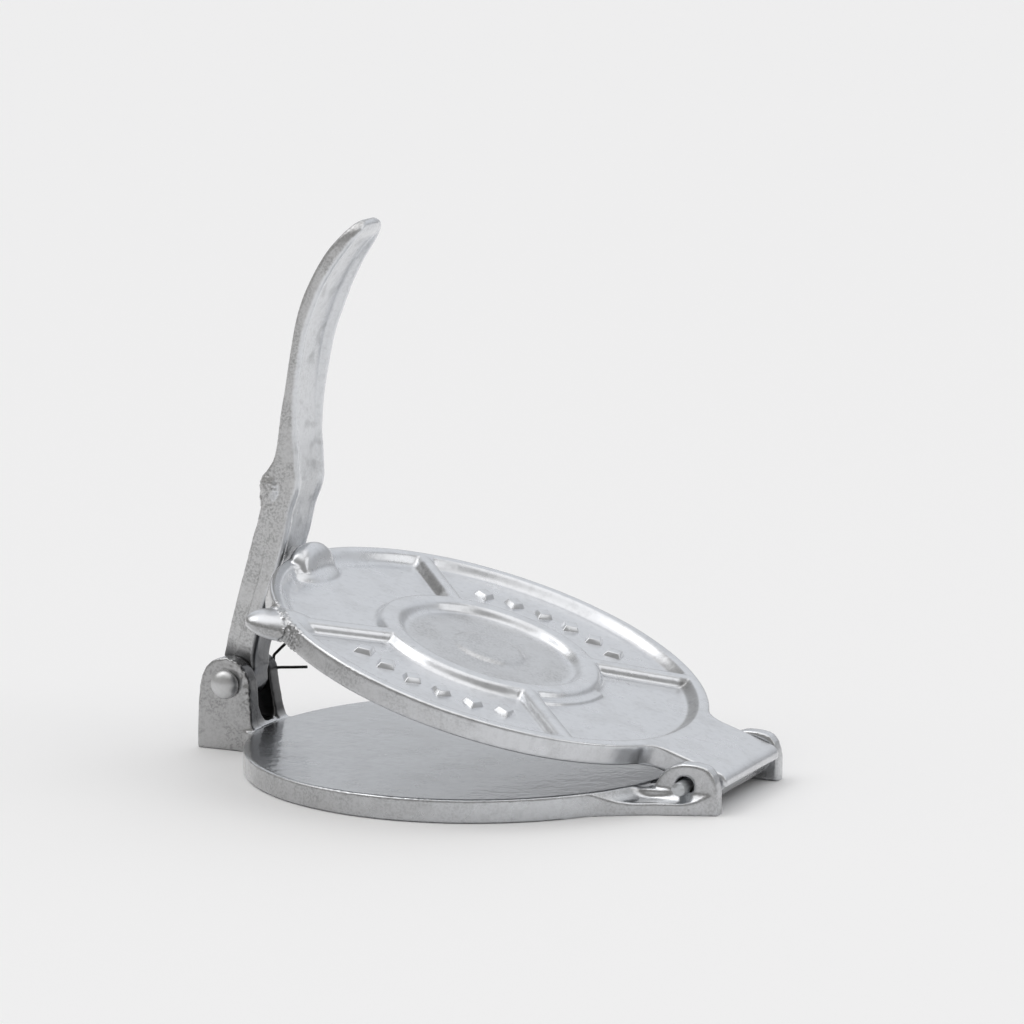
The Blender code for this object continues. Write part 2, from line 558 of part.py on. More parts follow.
def section(share, back, front):
    """One ring of the lever: chamfered sides, and a scooped channel in the front."""
    half = LEVER_BOSS_HALF + (HANDLE_HALF_WIDTH - LEVER_BOSS_HALF) * along(width_shares, share)
    if share > tip_shares[0][0]:
        half *= along(tip_shares, share)
    thick = front - back
    edge = min(LEVER_EDGE, thick / 4)
    depth = min(CHANNEL_DEPTH * along(channel_shares, share), thick / 3)
    mouth = half - CHANNEL_FLANGE
    ring = [(half - edge, back), (half, back + edge), (half, front - edge), (half - edge, front),
            (mouth, front), (mouth * 0.75, front - depth * 0.7), (mouth * 0.35, front - depth)]
    rise = FAR_FLANGE_RISE * along(far_flange_shares, share)
    near_side = [(-y, t) for y, t in reversed(ring)]
    ring = [(y, t + rise if 1 < i < 5 else t) for i, (y, t) in enumerate(ring)] + near_side
    return [(y, t, share * LEVER_LENGTH) for y, t in ring]


body = bmesh.new()
rings = []
for share, back, front in stations:
    rings.append([body.verts.new((t, y, s)) for y, t, s in section(share, back, front)])
for low, high in zip(rings, rings[1:]):
    count = len(low)
    for i in range(count):
        body.faces.new((low[i], low[(i + 1) % count], high[(i + 1) % count], high[i]))
body.faces.new(list(reversed(rings[0])))
body.faces.new(rings[-1])
bmesh.ops.recalc_face_normals(body, faces=body.faces)
lever_mesh = bpy.data.meshes.new("lever")
body.to_mesh(lever_mesh)
body.free()
lever = tool("lever", lever_mesh)
across = Vector((0, HANDLE_HALF_WIDTH, 0))
combine(lever, cylinder("lever_bore", LEVER_BORE_RADIUS, -across, across), "DIFFERENCE")

# At rest the lever leans on the back corner of the part-open lid's pad.
lean_share = max(front for _, _, front in [row for row in station_shares if 0.2 < row[0] < 0.36])
corner = Matrix.Rotation(LID_OPEN, 3, "Y") @ (Vector((pad[3][0], 0, pad[3][1])) - HINGE_AXIS) + HINGE_AXIS
reach = corner - LEVER_PIVOT
lever_lean = math.atan2(reach.x, reach.z) - math.asin((BAR_THICKNESS * lean_share + TOUCH_GAP) / reach.length)
lever.data.transform(Matrix.Translation(LEVER_PIVOT))
finish("press_lever", lever, silver_lever, LEVER_PIVOT, lever_lean)


def headed_pin(name, radius, head_radius, head_height, grip, overhang, holes):
    """A pin along Z with a domed head below zero, its shank going up through the grip."""
    head_edge = head_height / 4
    tip = grip + TOUCH_GAP + overhang
    shape = [(0, tip), (radius - PIN_CHAMFER, tip), (radius, tip - PIN_CHAMFER), (radius, 0),
             (head_radius, 0), (head_radius, -head_edge)]
    dome = head_height - head_edge
    shape += [(head_radius * math.cos(a), -head_edge - dome * math.sin(a))
              for a in [math.pi / 2 * i / 7 for i in range(1, 7)]]
    shape += [(0, -head_height)]
    made = turned(name, shape, PIN_STEPS)
    for height in holes:
        reach = Vector((radius + OVERRUN, 0, 0))
        middle = Vector((0, 0, height))
        hole = cylinder("pin_hole", COTTER_HOLE_RADIUS, middle - reach, middle + reach, 24)
        combine(made, hole, "DIFFERENCE")
    return made


# Lever pin: head on the near ear, its end past the far ear with a cross hole for the cotter.
clevis_width = CLEVIS_HALF_WIDTH * 2
cotter_height = clevis_width + TOUCH_GAP + COTTER_HOLE_OFFSET
lever_pin = headed_pin("lever_pin", LEVER_PIN_RADIUS, PIN_HEAD_RADIUS, PIN_HEAD_HEIGHT, clevis_width,
                       LEVER_PIN_OVERHANG, [cotter_height])
lever_pin.data.transform(Matrix.Rotation(math.radians(-90), 4, "X"))
lever_pin.data.transform(Matrix.Translation((0, -CLEVIS_HALF_WIDTH - TOUCH_GAP, 0)))
lever_pin.data.transform(Matrix.Translation(LEVER_PIVOT))
finish("lever_pin", lever_pin, pin_steel, LEVER_PIVOT)

# Hinge pin: head on the far lug, its cut end past the near one.
hinge_pin = headed_pin("hinge_pin", HINGE_PIN_RADIUS, HINGE_HEAD_RADIUS, HINGE_HEAD_HEIGHT, LUG_OUTER * 2,
                       HINGE_PIN_OVERHANG, [])
hinge_pin.data.transform(Matrix.Rotation(math.radians(90), 4, "X"))
hinge_pin.data.transform(Matrix.Translation((0, LUG_OUTER + TOUCH_GAP, 0)))
hinge_pin.data.transform(Matrix.Translation(HINGE_AXIS))
finish("hinge_pin", hinge_pin, hinge_steel, HINGE_AXIS)

# Cotter pin: one wire, from the bent leg through the hole, round the eye and back to the long leg.
strand = COTTER_WIRE + COTTER_STRAND_GAP / 2
bent_lean = math.radians(44.5)
bent_foot = (LEVER_PIN_RADIUS + COTTER_BEND, FAR_EAR_RADIUS * 0.78)
route = [(bent_foot[0] + COTTER_BENT_LENGTH * math.cos(bent_lean) * share,
          bent_foot[1] + COTTER_BENT_LENGTH * math.sin(bent_lean) * share)
         for share in (1.0, 0.6, 0.25, 0.08)]
rise_to = bent_foot[1] - strand
bent_shares = [(-0.03, 0.86), (-0.10, 0.68), (-0.10, 0.50), (-0.06, 0.33), (-0.12, 0.17), (-0.28, 0.05),
               (-0.5, 0.0)]
route += [(bent_foot[0] + COTTER_BEND * a, strand + rise_to * b) for a, b in bent_shares]
route += [(-LEVER_PIN_RADIUS - COTTER_EYE_REACH / 4, strand)]
eye_x = -LEVER_PIN_RADIUS - COTTER_EYE_REACH
mouth = math.asin(strand / COTTER_EYE_RADIUS)
turns = 18
route += [(eye_x + COTTER_EYE_RADIUS * math.cos(a), COTTER_EYE_RADIUS * math.sin(a))
          for a in [mouth + (2 * math.pi - 2 * mouth) * i / turns for i in range(turns + 1)]]
route += [(-LEVER_PIN_RADIUS - COTTER_EYE_REACH / 4, -strand)]
leg_shares = [(0.0, 0.0), (0.04, 0.06), (0.09, 0.22), (0.15, 0.42), (0.21, 0.55), (0.30, 0.62), (0.6, 0.78),
              (1.0, 1.0)]
route += [(LEVER_PIN_RADIUS + COTTER_LEG_LENGTH * a, -strand + COTTER_LEG_RISE * b) for a, b in leg_shares]
wire = bpy.data.curves.new("cotter", "CURVE")
wire.dimensions = "3D"
wire.bevel_depth = COTTER_WIRE
wire.bevel_resolution = 2
wire.use_fill_caps = True
line = wire.splines.new("POLY")
line.points.add(len(route) - 1)
for point, (x, z) in zip(line.points, route):
    point.co = (x, 0, z, 1)
wire_object = bpy.data.objects.new("cotter", wire)
CUTTERS.objects.link(wire_object)
cotter_mesh = evaluated(wire_object)
bpy.data.objects.remove(wire_object)
cotter_place = LEVER_PIVOT + Vector((0, cotter_height - CLEVIS_HALF_WIDTH - TOUCH_GAP, 0))
cotter_mesh.transform(Matrix.Translation(cotter_place))
finish("cotter_pin", tool("cotter", cotter_mesh), dark_wire, cotter_place)
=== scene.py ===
"""Looks of a cast tortilla press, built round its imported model.

Each casting is drawn in millimetres as forms that overlap. These are welded and rounded, and the piece is
then scaled to metres. The lid is drawn closed and turned open.
"""
import math

import bmesh
import bpy
from mathutils import Matrix, Vector, noise


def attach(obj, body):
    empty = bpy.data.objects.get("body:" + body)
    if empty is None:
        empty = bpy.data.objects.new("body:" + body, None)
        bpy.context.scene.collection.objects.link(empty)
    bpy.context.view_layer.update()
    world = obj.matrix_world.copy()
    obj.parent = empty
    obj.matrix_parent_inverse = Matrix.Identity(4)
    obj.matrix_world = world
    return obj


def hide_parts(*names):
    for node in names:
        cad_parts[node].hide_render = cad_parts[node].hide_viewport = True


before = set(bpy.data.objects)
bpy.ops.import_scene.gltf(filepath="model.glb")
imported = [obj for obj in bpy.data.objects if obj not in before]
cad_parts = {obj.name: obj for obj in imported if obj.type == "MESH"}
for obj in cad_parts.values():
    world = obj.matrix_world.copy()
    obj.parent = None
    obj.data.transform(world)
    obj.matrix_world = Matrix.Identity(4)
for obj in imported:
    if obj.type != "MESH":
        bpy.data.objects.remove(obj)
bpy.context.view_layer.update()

# Base plate. A flat disc of sand-cast iron under glossy silver paint, hollow below, with the clevis of
# the lever cast on its left edge and the two lugs of the hinge on its right edge.
MM = 0.001
TABLE = 0.0
DISC_TOP = 8.4
WALL_ANGLES = (43, 136, -130, -43)
CLEVIS_IN, CLEVIS_OUT = 6.9, 13.6
LUG_IN, LUG_OUT = 25.0, 30.8
PIVOT = Vector((-93.0, 0, 24.6))
HINGE = Vector((93.3, 0, 9.2))
SIDEWAYS = Matrix(((1, 0, 0, 0), (0, 0, 1, 0), (0, 1, 0, 0), (0, 0, 0, 1)))
LENGTHWISE = Matrix(((0, 0, 1, 0), (1, 0, 0, 0), (0, 1, 0, 0), (0, 0, 0, 1)))
SKIN_WAVE, SKIN_WAVE_LENGTH = 0.07, 14
VOXEL_SHARE = 1.0
MOST_TRIANGLES = 185000


def spun(section, steps=320):
    """A section of radius and height, spun once round Z."""
    body = bmesh.new()
    points = [body.verts.new((radius, 0, height)) for radius, height in section]
    lines = [body.edges.new(pair) for pair in zip(points, points[1:])]
    bmesh.ops.spin(body, geom=points + lines, cent=(0, 0, 0), axis=(0, 0, 1), angle=2 * math.pi,
                   steps=steps, use_merge=True)
    bmesh.ops.remove_doubles(body, verts=body.verts, dist=0.002)
    bmesh.ops.recalc_face_normals(body, faces=body.faces)
    return body


def slab(outline, low, high, place=None, soft=0.0):
    """A flat outline drawn out from one height to another, its two rims bevelled, then put in place."""
    body = bmesh.new()
    sheet = body.faces.new([body.verts.new((a, b, low)) for a, b in outline])
    made = bmesh.ops.extrude_face_region(body, geom=[sheet])["geom"]
    bmesh.ops.translate(body, verts=[v for v in made if isinstance(v, bmesh.types.BMVert)],
                        vec=(0, 0, high - low))
    if soft:
        rims = [e for e in body.edges if abs(e.verts[0].co.z - e.verts[1].co.z) < 1e-6]
        bmesh.ops.bevel(body, geom=rims, offset=soft, segments=3, profile=0.5, affect="EDGES", material=-1)
    if place:
        bmesh.ops.transform(body, matrix=place, verts=body.verts)
    bmesh.ops.recalc_face_normals(body, faces=body.faces)
    return body


def arc(x, z, radius, start, end, count):
    """Points on an arc, both ends included, angles in degrees."""
    turns = [math.radians(start + (end - start) * i / count) for i in range(count + 1)]
    return [(x + radius * math.cos(a), z + radius * math.sin(a)) for a in turns]


def shown(body, name):
    """A form as an object of its own."""
    mesh = bpy.data.meshes.new(name)
    body.to_mesh(mesh)
    body.free()
    made = bpy.data.objects.new(name, mesh)
    bpy.context.scene.collection.objects.link(made)
    return made


def applied(made):
    """The form that an object shows with its modifiers. The object goes."""
    bpy.context.view_layer.update()
    mesh = bpy.data.meshes.new_from_object(made.evaluated_get(bpy.context.evaluated_depsgraph_get()))
    bpy.data.objects.remove(made)
    body = bmesh.new()
    body.from_mesh(mesh)
    bpy.data.meshes.remove(mesh)
    return body


def joined(whole, form):
    """Adds a form to another. The form goes."""
    mesh = bpy.data.meshes.new("form")
    form.to_mesh(mesh)
    form.free()
    whole.from_mesh(mesh)
    bpy.data.meshes.remove(mesh)


def cut(body, cutter):
    """One form less another."""
    made, tool = shown(body, "form"), shown(cutter, "tool")
    step = made.modifiers.new("cut", "BOOLEAN")
    step.operation = "DIFFERENCE"
    step.solver = "EXACT"
    step.object = tool
    left = applied(made)
    bpy.data.objects.remove(tool)
    return left


def bar(start, end, radius, steps=48):
    """A round bar between two points."""
    start, end = Vector(start), Vector(end)
    body = bmesh.new()
    turn = (end - start).to_track_quat("Z", "Y").to_matrix().to_4x4()
    bmesh.ops.create_cone(body, cap_ends=True, segments=steps, radius1=radius, radius2=radius,
                          depth=(end - start).length, matrix=Matrix.Translation((start + end) / 2) @ turn)
    return body


def welded(name, forms, voxel, crumbs):
    """Forms that overlap become one casting: a fine remesh welds them, smoothing rounds each edge, and
    crumbs of sand lift the skin where the rule says so. Flat faces then lose the points they don't need."""
    whole = bmesh.new()
    for form in forms:
        joined(whole, form)
    made = shown(whole, name)
    weld = made.modifiers.new("weld", "REMESH")
    weld.mode = "VOXEL"
    weld.voxel_size = voxel * VOXEL_SHARE
    weld.use_smooth_shade = True
    soften = made.modifiers.new("soften", "SMOOTH")
    soften.factor = 0.5
    soften.iterations = 4
    body = applied(made)
    body.normal_update()
    for v in body.verts:
        wave = SKIN_WAVE * noise.noise(v.co / SKIN_WAVE_LENGTH)
        height = crumbs(v.co)
        if height:
            wave += height * (noise.noise(v.co / 1.1) + 0.7 * noise.noise(v.co / 0.6 + Vector((7, 3, 1))))
        v.co += v.normal * wave
    count = 2 * len(body.faces)
    made = shown(body, name)
    if count > MOST_TRIANGLES:
        thin = made.modifiers.new("thin", "DECIMATE")
        thin.ratio = MOST_TRIANGLES / count
    return applied(made)


def finished(name, body, place=None):
    """A piece in metres, shaded smooth, with its object at the origin."""
    place = Matrix.Scale(MM, 4) @ (place or Matrix.Identity(4))
    bmesh.ops.transform(body, matrix=place, verts=body.verts)
    made = shown(body, name)
    made.data.shade_smooth()
    return made


def blend_at(value, low, high):
    """A smooth step from 0 at low to 1 at high."""
    share = min(1.0, max(0.0, (value - low) / (high - low)))
    return share * share * (3 - 2 * share)


def along(table, place):
    """The value of a table between its rows, on a smooth line through them."""
    for index in range(len(table) - 1):
        (a, low), (b, high) = table[index], table[index + 1]
        if place <= b:
            before = table[max(0, index - 1)]
            after = table[min(len(table) - 1, index + 2)]
            share = max(0.0, (place - a) / (b - a))
            rise_a = (high - before[1]) / (b - before[0]) * (b - a)
            rise_b = (after[1] - low) / (after[0] - a) * (b - a)
            square, cube = share * share, share ** 3
            return ((2 * cube - 3 * square + 1) * low + (cube - 2 * square + share) * rise_a
                    + (3 * square - 2 * cube) * high + (cube - square) * rise_b)
    return table[-1][1]


def marked(made, rule):
    """Keeps how grainy the casting is at each point, and how much painted shade and stain darken it, both from 0
    to 1.
    """
    pairs = [rule(v.co / MM, v.normal) for v in made.data.vertices]
    for name, values in zip(("grain", "painted_shade_and_stain"), zip(*pairs)):
        mark = made.data.attributes.new(name, "FLOAT", "POINT")
        mark.data.foreach_set("value", [min(1.0, max(0.0, value)) for value in values])


def silver_paint(name, colour, sandy_colour, roughness, peel, speckle):
    """Aluminium paint with a clear gloss. It flows smooth on flat faces, and is duller over sandy ones."""
    look = bpy.data.materials.new(name)
    look.use_nodes = True
    nodes, links = look.node_tree.nodes, look.node_tree.links
    shader = nodes["Principled BSDF"]
    shader.inputs["Metallic"].default_value = 0.9
    shader.inputs["Coat Roughness"].default_value = 0.045
    spot = nodes.new("ShaderNodeTexCoord").outputs["Object"]
    grain = nodes.new("ShaderNodeAttribute")
    grain.attribute_name = "grain"

    def speck(scale, detail):
        """Cloudy noise at one scale."""
        made = nodes.new("ShaderNodeTexNoise")
        made.inputs["Scale"].default_value = scale
        made.inputs["Detail"].default_value = detail
        made.inputs["Roughness"].default_value = 0.6
        links.new(spot, made.inputs["Vector"])
        return made.outputs["Fac"]

    def sum_of(operation, first, second, third=None):
        """One step of arithmetic on numbers or sockets."""
        made = nodes.new("ShaderNodeMath")
        made.operation = operation
        for socket, value in zip(made.inputs, (first, second, third)):
            if isinstance(value, (int, float)):
                socket.default_value = value
            elif value is not None:
                links.new(value, socket)
        return made.outputs["Value"]

    def ramp(value, low, high):
        """A smooth share from 0 at low to 1 at high."""
        made = nodes.new("ShaderNodeMapRange")
        made.interpolation_type = "SMOOTHSTEP"
        made.inputs["From Min"].default_value = low
        made.inputs["From Max"].default_value = high
        links.new(value, made.inputs["Value"])
        return made.outputs["Result"]

    patches = ramp(speck(75, 2), 0.36, 0.62)
    sandy = sum_of("MULTIPLY", grain.outputs["Fac"], sum_of("MULTIPLY_ADD", patches, 0.75, 0.25))
    sand = speck(1150, 3)
    coarse = speck(420, 2)
    pits = nodes.new("ShaderNodeTexVoronoi")
    pits.inputs["Scale"].default_value = 210
    links.new(spot, pits.inputs["Vector"])
    pit = ramp(pits.outputs["Distance"], 0.16, 0.04)
    chosen = ramp(speck(95, 1), 0.60, 0.68)
    pit = sum_of("MULTIPLY", pit, chosen)
    swell = sum_of("MULTIPLY", speck(230, 1), peel)
    fine = sum_of("MULTIPLY", speck(620, 2), peel * 0.3)
    rough_height = sum_of("MULTIPLY_ADD", sand, 0.10, sum_of("MULTIPLY", coarse, 0.16))
    height = sum_of("MULTIPLY_ADD", rough_height, sandy, sum_of("ADD", swell, fine))
    height = sum_of("MULTIPLY_ADD", pit, -0.05, height)
    bump = nodes.new("ShaderNodeBump")
    bump.inputs["Strength"].default_value = 1.0
    bump.inputs["Distance"].default_value = MM
    links.new(height, bump.inputs["Height"])
    links.new(bump.outputs["Normal"], shader.inputs["Normal"])
    links.new(bump.outputs["Normal"], shader.inputs["Coat Normal"])

    dark = ramp(sand, 0.56, 0.40)
    dark = sum_of("MULTIPLY", dark, sum_of("MULTIPLY", sandy, speckle))
    dark = sum_of("ADD", dark, sum_of("MULTIPLY", pit, 0.35))
    dark = sum_of("MULTIPLY_ADD", ramp(speck(380, 3), 0.45, 0.75), 0.16, dark)
    painted_shade_and_stain = nodes.new("ShaderNodeAttribute")
    painted_shade_and_stain.attribute_name = "painted_shade_and_stain"
    ground = nodes.new("ShaderNodeMix")
    ground.data_type = "RGBA"
    ground.inputs["A"].default_value = (*colour, 1)
    ground.inputs["B"].default_value = (*sandy_colour, 1)
    links.new(grain.outputs["Fac"], ground.inputs["Factor"])
    tone = nodes.new("ShaderNodeMix")
    tone.data_type = "RGBA"
    tone.inputs["B"].default_value = (*[c * 0.45 for c in sandy_colour], 1)
    links.new(ground.outputs["Result"], tone.inputs["A"])
    links.new(dark, tone.inputs["Factor"])
    # Painted shade: the shade-and-stain mark turns the colour towards near black and thins the gloss coat.
    wear_and_shade = nodes.new("ShaderNodeMix")
    wear_and_shade.data_type = "RGBA"
    wear_and_shade.inputs["B"].default_value = (0.035, 0.035, 0.037, 1)
    links.new(tone.outputs["Result"], wear_and_shade.inputs["A"])
    links.new(painted_shade_and_stain.outputs["Fac"], wear_and_shade.inputs["Factor"])
    links.new(wear_and_shade.outputs["Result"], shader.inputs["Base Color"])
    links.new(sum_of("MULTIPLY_ADD", painted_shade_and_stain.outputs["Fac"], -0.85, 0.95), shader.inputs["Coat Weight"])
    wear = sum_of("MULTIPLY_ADD", speck(60, 3), 0.10, roughness - 0.05)
    wear = sum_of("MULTIPLY_ADD", sandy, 0.14, wear)
    links.new(wear, shader.inputs["Roughness"])
    return look


base_forms = [spun([
    (0, DISC_TOP), (81.75, DISC_TOP), (82.25, 8.25), (82.45, 7.8), (82.45, 1.0), (82.2, 0.3), (81.6, 0),
    (77.6, 0), (76.9, 0.4), (75.9, 3.6), (75.2, 4.0), (17.6, 4.0), (17.0, 3.6), (16.2, 0.4), (15.6, 0), (0, 0)])]
for angle in WALL_ANGLES:
    turn = Matrix.Rotation(math.radians(angle), 4, "Z")
    base_forms.append(slab([(15, -2.5), (78, -2.5), (78, 2.5), (15, 2.5)], 0.6, 4.6, turn))
near_ear = [(-105.37, TABLE), (-105.2, 8), (-104.9, 16), (-104.2, 23), (-103.2, 27), (-101.5, 30.3), (-99, 32.6),
            (-96.2, 33.8), (-93.4, 34.1), (-90.2, 33.5), (-87.4, 31.8), (-85.3, 29.2), (-84.0, 26), (-83.5, 22.5),
            (-83.4, 19), (-83.3, 14), (-82.9, 10), (-82.4, 8.8), (-81.4, 8.2), (-79, 7.6), (-79, TABLE)]
base_forms.append(slab(near_ear, -CLEVIS_OUT, -CLEVIS_IN, SIDEWAYS, soft=0.5))
far_ear = [(-105.4, TABLE)] + arc(PIVOT.x, PIVOT.z, 7.0, 168, 20, 18)
far_ear += [(-86.2, 25), (-85.9, 22.7), (-85.4, 19.4), (-84.8, 16.5), (-84.4, 13.9), (-83.8, 11.7),
            (-82.8, 8.9), (-81.6, 8.2), (-79, 7.6), (-79, TABLE)]
base_forms.append(slab(far_ear, CLEVIS_IN, CLEVIS_OUT, SIDEWAYS, soft=0.5))
yoke = [(-105.2, TABLE), (-104.1, 9.2), (-83.4, 9.2), (-82.7, 8.2), (-79, 7.6), (-79, TABLE)]
base_forms.append(slab(yoke, -8, 8, SIDEWAYS))
near_throat = [(-7.6, 8), (-7.6, 20.4), (-7.05, 19.6), (-6.75, 18), (-5.1, 14.8), (-3.6, 12.2), (-1.3, 10.1),
               (1.2, 9.05), (1.2, 8)]
base_forms.append(slab(near_throat, -103.2, -83.9, LENGTHWISE, soft=0.6))
far_throat = [(7.6, 8), (7.6, 12.6), (6.7, 12.0), (6.2, 10.2), (5.4, 9.4), (4.2, 9.05), (4.2, 8)]
base_forms.append(slab(far_throat, -103.2, -83.7, LENGTHWISE))
SWEEP = 8.5
sweep_y = CLEVIS_OUT + SWEEP
sweep_x = -math.sqrt((82.5 + SWEEP) ** 2 - sweep_y ** 2)
sweep_end = math.degrees(math.atan2(-sweep_y, -sweep_x))
for side in (1, -1):
    plan = arc(sweep_x, sweep_y, SWEEP, -90, sweep_end, 12)
    plan += [(-76, plan[-1][1]), (-76, 12.5), (sweep_x, 12.5)]
    base_forms.append(slab([(x, side * y) for x, y in plan], TABLE, 7.7))
lug = [(76, TABLE), (76, 7.5), (80, 8.2), (82.3, 8.6), (83.4, 10.6), (84.5, 12.5), (86.3, 14.4), (88.9, 16.1),
       (91.9, 17.0), (94.5, 17.25), (97.5, 17.2), (100.2, 16.8), (102.2, 16.0), (104.1, 13.8), (105.0, 11.1),
       (105.5, 8.5), (105.5, TABLE)]
LUG_HOLE = 3.3
FOOT_START, FOOT_LONG, FOOT_INNER, FOOT_LOW, FOOT_RISE = 60, 45.3, 29, 4.3, 3.7
FOOT_EDGE = [(60, 56.2), (66, 49.5), (75.2, 43.5), (84.2, 38.6), (93.8, 35.0), (101, 32.0), (105.3, 30.2)]
for side in (1, -1):
    low, high = sorted((side * LUG_IN, side * LUG_OUT))
    ear = slab(lug, low, high, SIDEWAYS, soft=0.9)
    base_forms.append(cut(ear, bar((93.65, -60, 9.5), (93.65, 60, 9.5), LUG_HOLE)))
    block = bmesh.new()
    bmesh.ops.create_grid(block, x_segments=60, y_segments=36, size=0.5)
    made = bmesh.ops.extrude_face_region(block, geom=block.faces[:])["geom"]
    raised = {v for v in made if isinstance(v, bmesh.types.BMVert)}
    for v in block.verts:
        x, share = FOOT_START + FOOT_LONG * (v.co.x + 0.5), v.co.y + 0.5
        y = FOOT_INNER + (along(FOOT_EDGE, x) - FOOT_INNER) * share
        hollow = 3.9 * max(0, 1 - max(0, math.hypot(x, y) - 82.3) / 7.5) ** 2.4
        hollow += 3.2 * max(0, 1 - max(0, y - LUG_OUT) / 4.2) ** 2.2
        v.co = (x, side * y, FOOT_LOW + min(FOOT_RISE, hollow) if v in raised else TABLE)
    bmesh.ops.recalc_face_normals(block, faces=block.faces)
    base_forms.append(block)
    sill = [(72, 26), (72, 33.2), (80.5, 32.9), (88.0, 31.8), (90.2, 31.0), (91.0, 29.8), (91.0, 26)]
    base_forms.append(slab([(x, side * y) for x, y in sill], TABLE, 8.0, soft=1.2))


def base_crumbs(at):
    """Burnt-on sand round the top and the front of the near ear."""
    if at.x > -82 or at.y > -11 or at.z < 12:
        return 0.0
    radius = math.hypot(at.x - PIVOT.x, at.z - PIVOT.z)
    angle = math.degrees(math.atan2(at.z - PIVOT.z, at.x - PIVOT.x))
    sector = blend_at(angle, -75, -30) * blend_at(-angle, -125, -95)
    return 0.5 * blend_at(-at.y, 11.9, 13.0) * blend_at(radius, 6.4, 7.8) * sector


base_body = welded("base_casting", base_forms, 0.5, base_crumbs)
for v in base_body.verts:
    v.co.z = max(v.co.z, TABLE)
base = finished("base_casting", base_body)


def base_marks(at, normal):
    """Sand shows on the upright faces of the clevis, less on the lugs, and hardly on the disc. Painted shade
    darkens the gap of the clevis and the front faces of its ears, the far ear's the most."""
    upright = blend_at(abs(normal.z), 0.85, 0.5)
    clevis = blend_at(-at.x, 78, 86)
    under = blend_at(-normal.z, 0.5, 0.9)
    left = blend_at(-at.x, -60, 40)
    lugs = blend_at(at.x, 60, 80)
    wear_and_shade = 0.12 * blend_at(noise.noise(at / 12), 0.05, 0.4)
    grain = 0.05 + wear_and_shade + upright * (0.14 + 0.6 * left + 0.1 * clevis + 0.3 * lugs)
    grain += 0.20 * clevis + 0.3 * under + 0.6 * base_crumbs(at)
    # Painted shade in the gap of the clevis and on the front faces of its ears.
    gap = blend_at(-at.x, 83.2, 85.4) * blend_at(-abs(at.y), -8.2, -7.0)
    gap *= blend_at(-at.z, -33, -30) * blend_at(at.z, 8.3, 9.0)
    front = blend_at(normal.x, 0.15, 0.6) * blend_at(-at.x, 80.5, 83) * blend_at(at.z, 9.2, 12)
    front *= 0.72 if at.y < 0 else 0.88
    return grain, max(0.93 * gap, front)


marked(base, base_marks)
base.data.materials.append(silver_paint("silver paint, base plate", (0.65, 0.668, 0.695),
                                     (0.45, 0.45, 0.453), 0.25, 0.13, 0.55))
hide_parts("base_plate")
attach(base, "base")

# Lid plate. The upper disc, cast with a rim, four radial walls and a ring that frame shallow recesses,
# a pad that the lever presses on, a lifting tab, and a neck that ends in the knuckle of the hinge.
LID_TOP = 16.75
LID_LOW = 8.75
LID_FLOOR = 13.25
LID_CLEAR = 8.62
LID_X = -0.8
LID_RADIUS = 81
NECK_HALF = 24.4
NECK_BLEND = 9.0
LID_MIDDLE = Matrix.Translation((LID_X, 0, 0))
LID_OPEN = math.radians(18.5)


def around(angle):
    """A turn about the lid's middle, in degrees."""
    return LID_MIDDLE @ Matrix.Rotation(math.radians(angle), 4, "Z")


def lump(halves, place, u_segments=48, v_segments=32):
    """An ellipsoid with three half sizes, put in place."""
    body = bmesh.new()
    bmesh.ops.create_uvsphere(body, u_segments=u_segments, v_segments=v_segments, radius=1)
    bmesh.ops.transform(body, matrix=place @ Matrix.Diagonal((*halves, 1)), verts=body.verts)
    return body


disc = spun([
    (0, 15.0), (10.8, 15.0), (12.2, 14.7), (13.6, 13.9), (14.8, 13.75), (30.6, 13.75), (31.6, 14.1),
    (33.2, 16.0), (34.2, 16.65), (35.2, LID_TOP), (38.4, LID_TOP), (39.4, 16.6), (40.2, 16.0), (41.6, 14.1),
    (42.6, 13.4), (44, LID_FLOOR), (72.2, LID_FLOOR), (73.6, 13.6), (74.6, 14.4), (76.2, 16.1), (77.0, 16.65),
    (77.8, LID_TOP), (80.1, LID_TOP), (80.6, 16.6), (80.9, 16.25), (81.05, 15.7), (81.05, 9.7), (80.8, 9.1),
    (80.2, LID_LOW), (0, LID_LOW)])
bmesh.ops.transform(disc, matrix=LID_MIDDLE, verts=disc.verts)
lid_forms = [disc]
for angle in WALL_ANGLES:
    wall = slab([(-4.9, 12.4), (-4.9, 13.2), (-4.0, 13.8), (-3.3, 15.3), (-2.5, 16.2), (-1.5, 16.65), (-0.5, 16.8),
                 (0.5, 16.8), (1.5, 16.65), (2.5, 16.2), (3.3, 15.3), (4.0, 13.8), (4.9, 13.2), (4.9, 12.4)],
                38, 78, LENGTHWISE)
    bmesh.ops.transform(wall, matrix=around(angle), verts=wall.verts)
    lid_forms.append(wall)
step_ring = spun([(40, 13), (40, 14.6), (44.0, 14.6), (44.8, 13)], 360)
bmesh.ops.transform(step_ring, matrix=LID_MIDDLE, verts=step_ring.verts)
for angle, way in ((7, 1), (-40, -1)):
    across = Matrix.Rotation(math.radians(angle), 3, "Z") @ Vector((0, way, 0))
    everything = step_ring.verts[:] + step_ring.edges[:] + step_ring.faces[:]
    bmesh.ops.bisect_plane(step_ring, geom=everything, plane_co=(LID_X, 0, 0), plane_no=across, clear_outer=True)
    bmesh.ops.holes_fill(step_ring, edges=step_ring.edges, sides=0)
lid_forms.append(step_ring)
tail = [(40, LID_LOW)] + arc(HINGE.x, HINGE.z, 6.2, 184.2, 300, 14)
